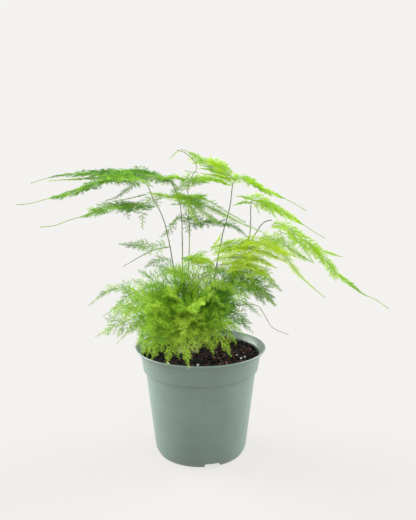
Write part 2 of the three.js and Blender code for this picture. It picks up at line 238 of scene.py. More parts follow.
LOW_FRONDS = {
    "low_frond_left_top": [
        ([(-14, 0, 94), (-23, -4, 117), (-32, -8, 134), (-39, -10, 146),
          (-48, -12, 152)], 17, 1, 0, 50, 1),
        ([(-13, -4, 96), (-27, -16, 125), (-40, -24, 141),
          (-51, -28, 148)], 17, 1, 0.15, 55, 1),
        ([(-12, 2, 96), (-16, 0, 122), (-23, -4, 138), (-32, -8, 152)], 15, 1, 0, 60, 1),
        ([(-10, 4, 96), (-10, 4, 121), (-16, 2, 141), (-25, 0, 151),
          (-37, -2, 154)], 15, 1, -0.15, 50, 1),
    ],
    "low_frond_left_high": [
        ([(-15, -1, 93), (-26, -4, 112), (-40, -10, 127), (-55, -15, 136), (-66, -18, 139),
          (-75, -20, 135), (-86, -22, 126)], 13, 0.96, 0, 45, 1),
        ([(-16, -2, 95), (-29, -8, 123), (-42, -16, 136), (-55, -22, 134),
          (-66, -26, 125)], 16, 1, 0.15, 50, 1),
    ],
    "low_frond_left_mid": [
        ([(-15, 7, 89), (-32, 13, 108), (-49, 18, 117), (-68, 22, 115),
          (-83, 24, 106)], 17, 0.95, -0.1, 35, 1.2),
    ],
    "low_frond_left_low": [
        ([(-16, -5, 92), (-30, -18, 116), (-44, -26, 121), (-61, -30, 114),
          (-80, -30, 104)], 19, 0.96, 0.15, 55, 1.1),
        ([(-18, -8, 99), (-33, -22, 113), (-47, -30, 114),
          (-63, -34, 100)], 10, 0.9, 0.05, 50, 1),
        ([(-16, -10, 97), (-31, -24, 125), (-45, -34, 134), (-58, -40, 128),
          (-66, -42, 119)], 15, 1, 0.2, 55, 1),
    ],
    "low_frond_left_front": [
        ([(-15, -7, 95), (-25, -20, 119), (-36, -32, 130), (-49, -40, 129),
          (-59, -44, 117)], 15, 1, 0.2, 50, 1),
    ],
    "low_frond_over_left_rim": [
        ([(-15, 4, 88), (-29, 2, 100), (-41, 0, 100), (-48, -3, 94),
          (-52, -6, 87)], 15, 1, 0.05, 30, 1.15),
        ([(-14, 0, 91), (-26, -8, 106), (-36, -16, 104), (-42, -21, 96),
          (-45, -24, 88)], 16, 1, 0.15, 30, 1.15),
        ([(-15, -2, 91), (-29, -10, 111), (-42, -16, 109),
          (-49, -18, 96)], 16, 1, 0.1, 35, 1.15),
        ([(-16, -5, 92), (-30, -15, 105), (-40, -24, 101),
          (-43, -28, 91)], 15, 1, 0.15, 25, 1.15),
    ],
    "low_frond_over_front_rim": [
        ([(-12, -7, 93), (-19, -20, 113), (-27, -32, 108), (-32, -40, 99),
          (-36, -44, 91)], 15, 1, 0.2, 20, 1.15),
        ([(-11, -8, 94), (-16, -22, 113), (-20, -35, 106), (-23, -44, 96),
          (-24, -48, 89)], 15, 1, 0.25, 10, 1.15),
        ([(-12, -8, 93), (-22, -26, 110), (-32, -36, 105),
          (-40, -38, 92)], 15, 1, 0.1, 20, 1.15),
    ],
    "low_frond_front": [
        ([(-10, -7, 91), (-10, -22, 113), (-11, -38, 107), (-10, -48, 96),
          (-8, -54, 88)], 13, 1, 0.25, 0, 1.15),
        ([(-9, -6, 92), (-6, -20, 110), (-2, -32, 102),
          (-2, -38, 94)], 14, 1, 0.2, 0, 1.15),
        ([(-10, -7, 92), (-13, -24, 111), (-17, -36, 102),
          (-16, -43, 92)], 14, 1, 0.15, 0, 1.15),
        ([(-9, -8, 93), (-8, -28, 118), (-10, -44, 119),
          (-14, -52, 110)], 16, 1, 0.2, 0, 1.15),
    ],
    "low_frond_over_soil": [
        ([(-8, -6, 91), (0, -14, 110), (9, -24, 108), (18, -30, 98),
          (23, -36, 91)], 14, 1, 0.15, 0, 1.15),
        ([(-7, -4, 91), (4, -10, 110), (17, -16, 109),
          (28, -22, 96)], 14, 1, 0.2, 20, 1.15),
        ([(-8, -6, 92), (0, -18, 108), (6, -28, 101), (10, -34, 92)], 14, 1, 0, 0, 1.15),
        ([(-7, -5, 92), (9, -14, 112), (24, -20, 111), (36, -22, 102)], 12, 1, 0, 15, 1.15),
    ],
    "low_frond_front_high": [
        ([(-8, -6, 90), (-9, -25, 119), (-6, -46, 133), (-2, -70, 132)], 16, 0.97, 0, 0, 1),
        ([(-9, -2, 95), (-11, -6, 122), (-13, -10, 141), (-19, -18, 152),
          (-30, -26, 155)], 17, 1, -0.05, 50, 1),
        ([(-9, -3, 95), (-13, -8, 123), (-10, -12, 140), (1, -16, 150), (14, -18, 153),
          (25, -20, 148)], 14, 1, 0.1, 60, 1),
        ([(-8, -4, 95), (-2, -10, 123), (-3, -14, 141), (-12, -18, 150), (-22, -22, 153),
          (-32, -26, 150)], 14, 1, 0.15, 60, 1),
        ([(-9, -5, 96), (-6, -20, 124), (1, -28, 139), (10, -32, 145), (20, -34, 144),
          (29, -36, 138)], 13, 1, 0.1, 50, 1),
        ([(-10, -6, 96), (-15, -24, 127), (-21, -34, 140),
          (-27, -42, 138)], 16, 1, 0.2, 40, 1),
        ([(-8, -6, 96), (0, -24, 127), (7, -36, 139), (15, -44, 133)], 14, 1, -0.05, 40, 1),
    ],
    "low_frond_front_left_high": [
        ([(-13, -5, 96), (-22, -23, 123), (-31, -40, 133),
          (-40, -56, 128)], 20, 0.97, 0.15, 45, 1),
        ([(-12, -4, 97), (-19, -14, 123), (-28, -22, 136),
          (-38, -28, 135)], 15, 1, 0.05, 50, 1),
        ([(-13, -8, 98), (-23, -26, 118), (-32, -42, 120),
          (-40, -50, 113)], 16, 1, 0.2, 40, 1),
    ],
    "low_frond_right_high": [
        ([(-7, -3, 92), (6, -10, 116), (20, -16, 133), (34, -20, 140), (47, -22, 136),
          (58, -24, 127)], 16, 1, -0.05, 45, 1),
        ([(-5, 0, 94), (6, -4, 123), (15, -8, 140), (27, -16, 151),
          (38, -24, 151)], 17, 1, -0.2, 50, 1.1),
        ([(-5, -4, 95), (11, -14, 126), (24, -24, 141), (37, -32, 145),
          (50, -36, 138)], 17, 1, 0, 45, 1),
    ],
    "low_frond_right_mid": [
        ([(-6, 7, 89), (9, 14, 112), (24, 18, 122), (38, 20, 118),
          (51, 21, 106)], 17, 0.95, -0.25, 35, 1.2),
        ([(-6, 4, 91), (11, 8, 109), (27, 10, 114), (41, 8, 105)], 14, 1, -0.2, 35, 1),
    ],
    "low_frond_right_low": [
        ([(-6, -2, 91), (6, -8, 113), (19, -12, 118), (31, -16, 113),
          (41, -18, 104)], 12, 1, -0.15, 40, 1),
        ([(-8, -6, 94), (3, -22, 121), (15, -34, 131), (28, -44, 128)], 16, 1, 0, 40, 1),
        ([(-7, -8, 94), (4, -24, 116), (16, -34, 121),
          (27, -40, 113)], 13, 1, -0.05, 30, 1),
    ],
    "low_frond_right_back": [
        ([(0, 12, 86), (16, 24, 96), (30, 34, 100), (45, 41, 95)], 13, 0.98, -0.3, 10, 1.3),
    ],
    "low_frond_back": [
        ([(-8, 15, 86), (-5, 34, 101), (-3, 54, 109),
          (0, 73, 106)], 17, 0.98, -0.3, 0, 1.3),
        ([(-7, 8, 94), (-4, 9, 119), (1, 8, 138), (11, 2, 150),
          (22, -6, 150)], 17, 1, -0.2, 50, 1.1),
        ([(-8, 15, 86), (-9, 25, 101), (-8, 35, 101), (-7, 43, 88)], 13, 1, -0.1, 0, 1),
        ([(-3, 15, 86), (2, 24, 97), (6, 32, 97), (9, 38, 87)], 12, 1, -0.2, 0, 1),
    ],
    "low_frond_back_left": [
        ([(-14, 15, 89), (-25, 35, 115), (-38, 52, 126),
          (-53, 66, 121)], 17, 0.98, -0.3, 0, 1.3),
        ([(-14, 14, 86), (-24, 23, 98), (-32, 29, 96), (-38, 34, 86)], 13, 1, -0.15, 0, 1),
    ],
    "low_frond_back_right": [
        ([(-4, 14, 89), (10, 34, 118), (24, 50, 130),
          (42, 65, 124)], 17, 0.98, -0.3, 0, 1.3),
        ([(-4, 6, 95), (9, 8, 124), (22, 8, 143), (35, 4, 153),
          (45, 0, 152)], 16, 1, -0.3, 50, 1.2),
        ([(-3, 13, 86), (7, 24, 99), (15, 32, 98), (21, 38, 87)], 13, 1, -0.15, 0, 1),
    ],
}
# The young fronds, which are yellow-green. The others are mid-green.
YELLOW_GREEN = {
    "frond_top_centre", "frond_top_right", "frond_top_right_back", "frond_upper_right",
    "frond_right_long", "frond_right_inner", "frond_right_hanging", "frond_bright_right",
    "frond_bright_right_low", "frond_inner_low", "frond_inner_high",
}

# How the three kinds of frond differ: angles in degrees, lengths in millimetres.
HIGH_LOOK = {"bare_foot": 1, "widest": 0.18, "taper": 0.65, "heel": 45, "lift": -2,
             "scatter": 5, "ruffle": 9, "mottle": 0.12, "spacing": 0.52,
             "tip_radius": 0.24}
MIDDLE_LOOK = {"bare_foot": 1, "widest": 0.25, "taper": 0.70, "heel": 35, "lift": -3,
               "scatter": 9, "ruffle": 14, "mottle": 0.12, "spacing": 0.55,
               "tip_radius": 0.18}
LOW_LOOK = {"bare_foot": 9, "widest": 0.32, "taper": 0.80, "heel": 0, "lift": -4,
            "scatter": 15, "ruffle": 20, "mottle": 0.26, "spacing": 0.80,
            "tip_radius": 0.16}


# ---- Settings ----
class PotSettings(bpy.types.PropertyGroup):
    rim_radius: FloatProperty(
        name="Rim radius", description="Outer edge of the flared lip", unit="LENGTH",
        default=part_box("nursery_pot")[1][0])
    height: FloatProperty(
        name="Height", description="From the table to the lip", unit="LENGTH",
        default=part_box("nursery_pot")[1][2])
    colour: FloatVectorProperty(
        name="Plastic", description="Sage green of the moulded plastic", subtype="COLOR",
        size=3, default=(0.152, 0.218, 0.183))


class SoilSettings(bpy.types.PropertyGroup):
    level: FloatProperty(
        name="Level", description="Height of the soil at the wall", unit="LENGTH",
        default=81.2 * MM)
    crumbs: IntProperty(
        name="Crumbs", description="How many loose crumbs of peat lie on top", default=1000)
    chips: IntProperty(
        name="Bark chips", description="How many bits of bark lie on top", default=340)
    perlite: IntProperty(
        name="Perlite", description="How many white grains lie on top", default=5)


class FoliageSettings(bpy.types.PropertyGroup):
    needle_length: FloatProperty(
        name="Needle length", description="Length of one needle", unit="LENGTH",
        default=4.2 * MM)
    needle_width: FloatProperty(
        name="Needle width", description="Width of a needle at its foot", unit="LENGTH",
        default=0.33 * MM)
    side_spacing: FloatProperty(
        name="Side spray spacing", description="Distance between side sprays on a midrib",
        unit="LENGTH", default=2.3 * MM)
    seed: IntProperty(name="Seed", description="Start of the random draws", default=7)


class StageSettings(bpy.types.PropertyGroup):
    floor_colour: FloatVectorProperty(
        name="Floor", description="Colour of the floor and backdrop", subtype="COLOR",
        size=3, default=(0.08, 0.0785, 0.0765))


# ---- Shared mesh helpers ----
def finish_piece(name, mesh, material, nodes):
    """Puts a finished mesh in the scene at the origin, with its material and body, and hides the
    CAD nodes it stands in for.
    """
    mesh.materials.clear()
    mesh.materials.append(material)
    piece = bpy.data.objects.new(name, mesh)
    bpy.context.scene.collection.objects.link(piece)
    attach(piece, ROOT)
    if nodes:
        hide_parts(*nodes)


def mesh_from(bm, name, smooth_angle=None):
    """Turns a bmesh into a mesh; edges sharper than the angle stay crisp."""
    if smooth_angle is not None:
        for face in bm.faces:
            face.smooth = True
        for edge in bm.edges:
            if len(edge.link_faces) == 2 and edge.calc_face_angle(0.0) > smooth_angle:
                edge.smooth = False
    mesh = bpy.data.meshes.new(name)
    bm.to_mesh(mesh)
    bm.free()
    return mesh


def add_mesh(bm, mesh):
    """Adds a mesh to bm and drops the mesh, which isn't needed any more."""
    bm.from_mesh(mesh)
    bpy.data.meshes.remove(mesh)


def route_points(points, count):
    """A smooth line through points in millimetres, as evenly spaced places in metres."""
    knots = [Vector(p) * MM for p in points]
    knots = [2 * knots[0] - knots[1], *knots, 2 * knots[-1] - knots[-2]]
    fine = []
    for i in range(1, len(knots) - 2):
        before, start, end, after = knots[i - 1:i + 3]
        for k in range(24):
            t = k / 24
            fine.append(0.5 * ((2 * start) + (end - before) * t
                        + (2 * before - 5 * start + 4 * end - after) * t * t
                        + (3 * start - before - 3 * end + after) * t ** 3))
    fine.append(knots[-2])
    reach = [0.0]
    for a, b in zip(fine, fine[1:]):
        reach.append(reach[-1] + (b - a).length)
    places = []
    j = 0
    for k in range(count):
        want = reach[-1] * k / (count - 1)
        while j < len(fine) - 2 and reach[j + 1] < want:
            j += 1
        share = (want - reach[j]) / max(reach[j + 1] - reach[j], 1e-9)
        places.append(fine[j].lerp(fine[j + 1], min(max(share, 0.0), 1.0)))
    return places, reach[-1]


def tangent_at(places, i):
    """The direction of the line at one of its places."""
    return (places[min(i + 1, len(places) - 1)] - places[max(i - 1, 0)]).normalized()


def tube_along(bm, places, radius_at, sides):
    """Adds a closed tapering tube: a capped disc is extruded from place to place."""
    facing = tangent_at(places, 0)
    turn = facing.to_track_quat("Z", "Y").to_matrix().to_4x4()
    ring = bmesh.ops.create_circle(
        bm, cap_ends=True, segments=sides, radius=radius_at(0.0),
        matrix=Matrix.Translation(places[0]) @ turn)["verts"]
    cap = ring[0].link_faces[0]
    whole = [cap]
    for i in range(1, len(places)):
        grown = bmesh.ops.extrude_face_region(bm, geom=[cap])["geom"]
        ring = [part for part in grown if isinstance(part, bmesh.types.BMVert)]
        spent = cap
        cap = next(part for part in grown if isinstance(part, bmesh.types.BMFace))
        if i > 1:
            bmesh.ops.delete(bm, geom=[spent], context="FACES_ONLY")
        ahead = tangent_at(places, i)
        bmesh.ops.translate(bm, verts=ring, vec=places[i] - places[i - 1])
        bmesh.ops.rotate(bm, verts=ring, cent=places[i],
                         matrix=facing.rotation_difference(ahead).to_matrix())
        size = radius_at(i / (len(places) - 1)) / radius_at((i - 1) / (len(places) - 1))
        bmesh.ops.scale(bm, verts=ring, vec=(size, size, size),
                        space=Matrix.Translation(-places[i]))
        whole.extend(face for vert in ring for face in vert.link_faces)
        facing = ahead
    faces = [face for face in dict.fromkeys(whole) if face.is_valid]
    bmesh.ops.recalc_face_normals(bm, faces=faces)
    return faces


def rounded_profile(corners, steps=3):
    """(radius, height, fillet) corners in metres, each fillet drawn as an arc of short edges."""
    outline = []
    for i, (radius, height, fillet) in enumerate(corners):
        here = Vector((radius, height))
        if fillet == 0 or i in (0, len(corners) - 1):
            outline.append(here)
            continue
        back = (Vector(corners[i - 1][:2]) - here).normalized()
        ahead = (Vector(corners[i + 1][:2]) - here).normalized()
        for k in range(steps + 1):
            t = k / steps
            a, b = here + back * fillet, here + ahead * fillet
            outline.append(a * (1 - t) ** 2 + here * 2 * t * (1 - t) + b * t ** 2)
    return outline


def spun(bm, outline, steps):
    """Turns an outline of (radius, height) about the pot's axis into a closed skin."""
    verts = [bm.verts.new((p.x, 0.0, p.y)) for p in outline]
    edges = [bm.edges.new(pair) for pair in zip(verts, verts[1:])]
    bmesh.ops.spin(bm, geom=verts + edges, cent=(0, 0, 0), axis=(0, 0, 1),
                   angle=2 * math.pi, steps=steps, use_merge=True)
    bmesh.ops.remove_doubles(bm, verts=bm.verts[:], dist=1e-6)
    bmesh.ops.recalc_face_normals(bm, faces=bm.faces[:])


# ---- Shared material helpers ----
def new_material(name):
    """A new material with its nodes, links and shader."""
    material = bpy.data.materials.new(name)
    material.use_nodes = True
    nodes = material.node_tree.nodes
    return material, nodes, material.node_tree.links, nodes["Principled BSDF"]


def noise_on_piece(nodes, links, scale, detail, roughness=0.55):
    """Noise that reads the piece's own Object coordinates."""
    place = nodes.new("ShaderNodeTexCoord")
    texture = nodes.new("ShaderNodeTexNoise")
    texture.inputs["Scale"].default_value = scale
    texture.inputs["Detail"].default_value = detail
    texture.inputs["Roughness"].default_value = roughness
    links.new(place.outputs["Object"], texture.inputs["Vector"])
    return texture


def ramp(nodes, links, source, stops):
    """A colour ramp with (position, colour) stops, fed by source."""
    node = nodes.new("ShaderNodeValToRGB")
    elements = node.color_ramp.elements
    elements[0].position, elements[0].color = stops[0][0], (*stops[0][1], 1)
    elements[1].position, elements[1].color = stops[-1][0], (*stops[-1][1], 1)
    for position, colour in stops[1:-1]:
        elements.new(position).color = (*colour, 1)
    links.new(source, node.inputs["Fac"])
    return node


def multiply(nodes, links, first, second):
    """The product of two colours."""
    node = nodes.new("ShaderNodeMix")
    node.data_type = "RGBA"
    node.blend_type = "MULTIPLY"
    node.inputs["Factor"].default_value = 1.0
    links.new(first, node.inputs["A"])
    links.new(second, node.inputs["B"])
    return node.outputs["Result"]


def bumped(nodes, links, shader, height, distance, strength):
    """Gives a shader a bump from height, over distance in metres."""
    node = nodes.new("ShaderNodeBump")
    node.inputs["Distance"].default_value = distance
    node.inputs["Strength"].default_value = strength
    links.new(height, node.inputs["Height"])
    links.new(node.outputs["Normal"], shader.inputs["Normal"])


def value_range(nodes, links, source, low, high):
    """Noise spread over the values from low to high."""
    node = nodes.new("ShaderNodeMapRange")
    node.inputs["From Min"].default_value = 0.3
    node.inputs["From Max"].default_value = 0.7
    node.inputs["To Min"].default_value = low
    node.inputs["To Max"].default_value = high
    links.new(source, node.inputs["Value"])
    return node.outputs["Result"]


# ---- Materials ----
def pot_plastic(colour):
    """Satin polypropylene: faint mottling, a little dust, painted shade towards the foot and
    fine moulding ripple.
    """
    material, nodes, links, shader = new_material("pot_plastic")
    cloud = noise_on_piece(nodes, links, 38, 5)
    tint = ramp(nodes, links, cloud.outputs["Fac"], [
        (0.30, [c * 0.90 for c in colour]), (0.55, colour), (0.75, [c * 1.10 for c in colour])])
    speck = noise_on_piece(nodes, links, 900, 2)
    dust = ramp(nodes, links, speck.outputs["Fac"], [
        (0.30, (0.90, 0.90, 0.90)), (0.50, (1.0, 1.0, 1.0)), (0.72, (1.08, 1.07, 1.05))])
    # Painted shade: the colour darkens towards the foot, to about 0.77 at the floor, and is full
    # by 50 mm up.
    place = nodes.new("ShaderNodeTexCoord")
    split = nodes.new("ShaderNodeSeparateXYZ")
    links.new(place.outputs["Object"], split.inputs["Vector"])
    painted_foot_shade = ramp(nodes, links, split.outputs["Z"], [
        (0.0, (0.76, 0.78, 0.77)), (0.05, (1.0, 1.0, 1.0))])
    mottled = multiply(nodes, links, tint.outputs["Color"], dust.outputs["Color"])
    links.new(multiply(nodes, links, mottled, painted_foot_shade.outputs["Color"]),
              shader.inputs["Base Color"])
    links.new(value_range(nodes, links, cloud.outputs["Fac"], 0.34, 0.46),
              shader.inputs["Roughness"])
    shader.inputs["Specular IOR Level"].default_value = 0.65
    ripple = noise_on_piece(nodes, links, 260, 3)
    bumped(nodes, links, shader, ripple.outputs["Fac"], 0.0002, 0.25)
    return material


def soil_material():
    """Near-black moist peat with browner fibres."""
    material, nodes, links, shader = new_material("moist_peat")
    grain = noise_on_piece(nodes, links, 420, 6, 0.65)
    tint = ramp(nodes, links, grain.outputs["Fac"], [
        (0.30, (0.002, 0.002, 0.002)), (0.54, (0.006, 0.004, 0.004)),
        (0.68, (0.014, 0.008, 0.006)), (0.82, (0.050, 0.030, 0.022))])
    links.new(tint.outputs["Color"], shader.inputs["Base Color"])
    links.new(value_range(nodes, links, grain.outputs["Fac"], 0.95, 0.60),
              shader.inputs["Roughness"])
    shader.inputs["Specular IOR Level"].default_value = 0.15
    bumped(nodes, links, shader, grain.outputs["Fac"], 0.0008, 0.8)
    return material


def bark_material():
    """Reddish-brown bark bits with paler broken faces."""
    material, nodes, links, shader = new_material("bark_chip")
    grain = noise_on_piece(nodes, links, 170, 5, 0.7)
    tint = ramp(nodes, links, grain.outputs["Fac"], [
        (0.36, (0.008, 0.004, 0.004)), (0.52, (0.050, 0.020, 0.014)),
        (0.62, (0.170, 0.085, 0.060)), (0.74, (0.380, 0.270, 0.210))])
    links.new(tint.outputs["Color"], shader.inputs["Base Color"])
    links.new(value_range(nodes, links, grain.outputs["Fac"], 0.9, 0.65),
              shader.inputs["Roughness"])
    shader.inputs["Specular IOR Level"].default_value = 0.15
    bumped(nodes, links, shader, grain.outputs["Fac"], 0.0005, 0.6)
    return material


def perlite_material():
    """White, chalky grains."""
    material, nodes, links, shader = new_material("perlite_white")
    grain = noise_on_piece(nodes, links, 900, 3)
    tint = ramp(nodes, links, grain.outputs["Fac"], [
        (0.35, (0.42, 0.40, 0.36)), (0.60, (0.80, 0.79, 0.76))])
    links.new(tint.outputs["Color"], shader.inputs["Base Color"])
    shader.inputs["Roughness"].default_value = 0.9
    return material


def stem_material(name, dark, light):
    """Wiry stem: green mottled with olive brown."""
    material, nodes, links, shader = new_material(name)
    patch = noise_on_piece(nodes, links, 160, 3)
    tint = ramp(nodes, links, patch.outputs["Fac"], [(0.32, dark), (0.66, light)])
    links.new(tint.outputs["Color"], shader.inputs["Base Color"])
    shader.inputs["Roughness"].default_value = 0.5
    bumped(nodes, links, shader, patch.outputs["Fac"], 0.0001, 0.3)
    return material


def foliage_material(name, tones):
    """Needles: one of several greens each, with a paler tip, and olive twigs between them."""
    material, nodes, links, shader = new_material(name)
    spot = nodes.new("ShaderNodeUVMap")
    spot.uv_map = NEEDLE_MAP
    split = nodes.new("ShaderNodeSeparateXYZ")
    links.new(spot.outputs["UV"], split.inputs["Vector"])
    twig = (0.290, 0.480, 0.060)
    stops = [(0.0, twig), (TWIG_BAND, twig)]
    first = TWIG_BAND + 0.02
    for k, tone in enumerate(tones):
        stops.append((first + (1 - first) * k / (len(tones) - 1), tone))
    green = ramp(nodes, links, split.outputs["Y"], stops)
    along = ramp(nodes, links, split.outputs["X"], [
        (0.0, (0.78, 0.80, 0.70)), (0.45, (1.0, 1.0, 1.0)), (1.0, (1.22, 1.14, 1.05))])
    links.new(multiply(nodes, links, green.outputs["Color"], along.outputs["Color"]),
              shader.inputs["Base Color"])
    shader.inputs["Roughness"].default_value = 0.55
    shader.inputs["Specular IOR Level"].default_value = 0.15
    return material


# ---- Foliage building blocks ----
def stamp(bm, mesh, matrix, tone=0.0):
    """Adds a copy of mesh, moved by matrix, with its needles a little lighter or darker."""
    copy = mesh.copy()
    copy.transform(matrix)
    if tone:
        layer = copy.uv_layers[NEEDLE_MAP]
        spots = np.empty(len(copy.loops) * 2, np.float32)
        layer.uv.foreach_get("vector", spots)
        rows = spots[1::2]
        needles = rows > TWIG_BAND
        end = LIGHTEST if tone > 0 else DARKEST
        rows[needles] += abs(tone) * (end - rows[needles])
        layer.uv.foreach_set("vector", spots)
    if matrix.determinant() < 0:
        copy.flip_normals()
    add_mesh(bm, copy)


def paint(faces, layer, tip, low, high):
    """Lays faces on the needle map: across from low to high, and up to 1 at the tip."""
    for face in faces:
        for k, loop in enumerate(face.loops):
            near = 1.0 if (loop.vert.co - tip).length < 1e-6 else 0.0
            loop[layer].uv = (near, (low, high, (low + high) / 2)[k % 3])


def fascicle(rng, length, width, count, ruffle):
    """A tuft of needles that fan out from one knot, pointing along +X."""
    bm = bmesh.new()
    layer = bm.loops.layers.uv.new(NEEDLE_MAP)
    for k in range(count):
        reach = length * rng.uniform(0.72, 1.12)
        swing = math.radians(-68 + 136 * (k + rng.uniform(0.2, 0.8)) / count)
        lift = math.radians(rng.uniform(-1.5, 1.5) * ruffle)
        aim = Vector((math.cos(swing) * math.cos(lift), math.sin(swing) * math.cos(lift),
                      math.sin(lift)))
        matrix = (Matrix.Translation(aim * reach / 2)
                  @ aim.to_track_quat("Z", "Y").to_matrix().to_4x4())
        verts = bmesh.ops.create_cone(
            bm, cap_ends=True, segments=3, radius1=width / 2, radius2=0, depth=reach,
            matrix=matrix)["verts"]
        tone = rng.uniform(0.42, 0.68)
        faces = {face for vert in verts for face in vert.link_faces}
        paint(faces, layer, aim * reach, tone - NEEDLE_EDGE, tone + NEEDLE_EDGE)
    return mesh_from(bm, "fascicle")


def straight_twig(bm, layer, start, end, thick, thin):
    """A thin three-sided stalk between two points, painted in the twig colour."""
    aim = end - start
    matrix = (Matrix.Translation((start + end) / 2)
              @ aim.normalized().to_track_quat("Z", "Y").to_matrix().to_4x4())
    verts = bmesh.ops.create_cone(
        bm, cap_ends=True, segments=3, radius1=thick, radius2=thin, depth=aim.length,
        matrix=matrix)["verts"]
    faces = {face for vert in verts for face in vert.link_faces}
    paint(faces, layer, end, 0.03, 0.08)


def twig(rng, tufts, length, ruffle):
    """A twig along +X with tufts of needles all the way to its tip."""
    bm = bmesh.new()
    layer = bm.loops.layers.uv.new(NEEDLE_MAP)
    sag = rng.uniform(-0.006, 0.003) * ruffle * length
    middle = Vector((length * 0.5, rng.uniform(-0.05, 0.05) * length, sag * 0.3))
    end = Vector((length, 0, sag))
    straight_twig(bm, layer, Vector((0, 0, 0)), middle, 0.14 * MM, 0.11 * MM)
    straight_twig(bm, layer, middle, end, 0.11 * MM, 0.06 * MM)
    count = max(2, round(length / (1.7 * MM)))
    for k in range(count):
        share = (k + 0.6) / count
        place = (Vector((0, 0, 0)).lerp(middle, share * 2) if share < 0.5
                 else middle.lerp(end, share * 2 - 1))
        swing = math.radians(rng.uniform(12, 40)) * (1 if k % 2 else -1) * (1 - share * 0.7)
        size = rng.uniform(0.8, 1.05) * (1.0 - 0.35 * share)
        matrix = (Matrix.Translation(place) @ Matrix.Rotation(swing, 4, "Z")
                  @ Matrix.Rotation(math.radians(rng.uniform(-1.5, 1.5) * ruffle), 4, "X")
                  @ Matrix.Scale(size, 4))
        stamp(bm, rng.choice(tufts), matrix, rng.uniform(-0.1, 0.1))
    return mesh_from(bm, "twig")


def side_spray(rng, twigs, length, ruffle):
    """A side spray along +X: a bowed stalk with twigs to left and right and one at its tip."""
    bm = bmesh.new()
    layer = bm.loops.layers.uv.new(NEEDLE_MAP)
    bow = rng.uniform(0.05, 0.16) * length
    droop = rng.uniform(-0.008, 0.002) * ruffle * length

    def on_stalk(share):
        return Vector((length * share, bow * math.sin(math.pi * share) * 0.8,
                       droop * share * share))

    for k in range(3):
        straight_twig(bm, layer, on_stalk(k / 3), on_stalk((k + 1) / 3),
                      (0.22 - 0.045 * k) * MM, (0.175 - 0.045 * k) * MM)
    count = max(2, round(length / (2.1 * MM)))
    for k in range(count):
        share = (k + 0.7) / (count + 0.5)
        want = length * 0.52 * (1 - share) + 3.2 * MM
        size, mesh = min(twigs, key=lambda pair: abs(pair[0] - want) + rng.uniform(0, 0.8) * MM)
        swing = math.radians(rng.uniform(34, 58)) * (1 if k % 2 else -1)
        matrix = (Matrix.Translation(on_stalk(share)) @ Matrix.Rotation(swing, 4, "Z")
                  @ Matrix.Rotation(math.radians(rng.uniform(-1, 1) * ruffle), 4, "Y")
                  @ Matrix.Rotation(math.radians(rng.uniform(-1.3, 1.3) * ruffle), 4, "X")
                  @ Matrix.Scale(want / size, 4))
        stamp(bm, mesh, matrix, rng.uniform(-0.12, 0.12))
    size, mesh = twigs[0]
    stamp(bm, mesh, Matrix.Translation(on_stalk(0.97)), 0.05)
    return mesh_from(bm, "side_spray")


class SprayKit:
    """The tufts, twigs and side sprays that every frond is made of, in several lengths."""

    def __init__(self, settings, ruffle):
        rng = random.Random(settings.seed)
        self.tufts = [fascicle(rng, settings.needle_length, settings.needle_width, 5, ruffle)
                      for _ in range(5)]
        twigs = [(length * MM, twig(rng, self.tufts, length * MM, ruffle))
                 for length in (3.5, 5, 7, 9, 12) for _ in range(2)]
        self.sprays = twigs + [(length * MM, side_spray(rng, twigs, length * MM, ruffle))
                               for length in (8, 11, 14, 18, 22) for _ in range(3)]

    def nearest(self, rng, length):
        return min(self.sprays, key=lambda pair: abs(pair[0] - length) + rng.uniform(0, 1) * MM)


def reach_at(share, look):
    """How long the side sprays are along a frond, from 0 to 1 of the widest."""
    rise = min(1.0, 0.45 + share / look["widest"] * 0.55)
    fall = max(0.0, (1 - share) / (1 - look["widest"]))
    return min(rise, fall ** look["taper"])


def aimed(place, aim, normal):
    """A matrix that lays +X along aim and +Z as near normal as it goes."""
    flat = normal.cross(aim).normalized()
    return Matrix.Translation(place) @ Matrix((aim, flat, aim.cross(flat))).transposed().to_4x4()


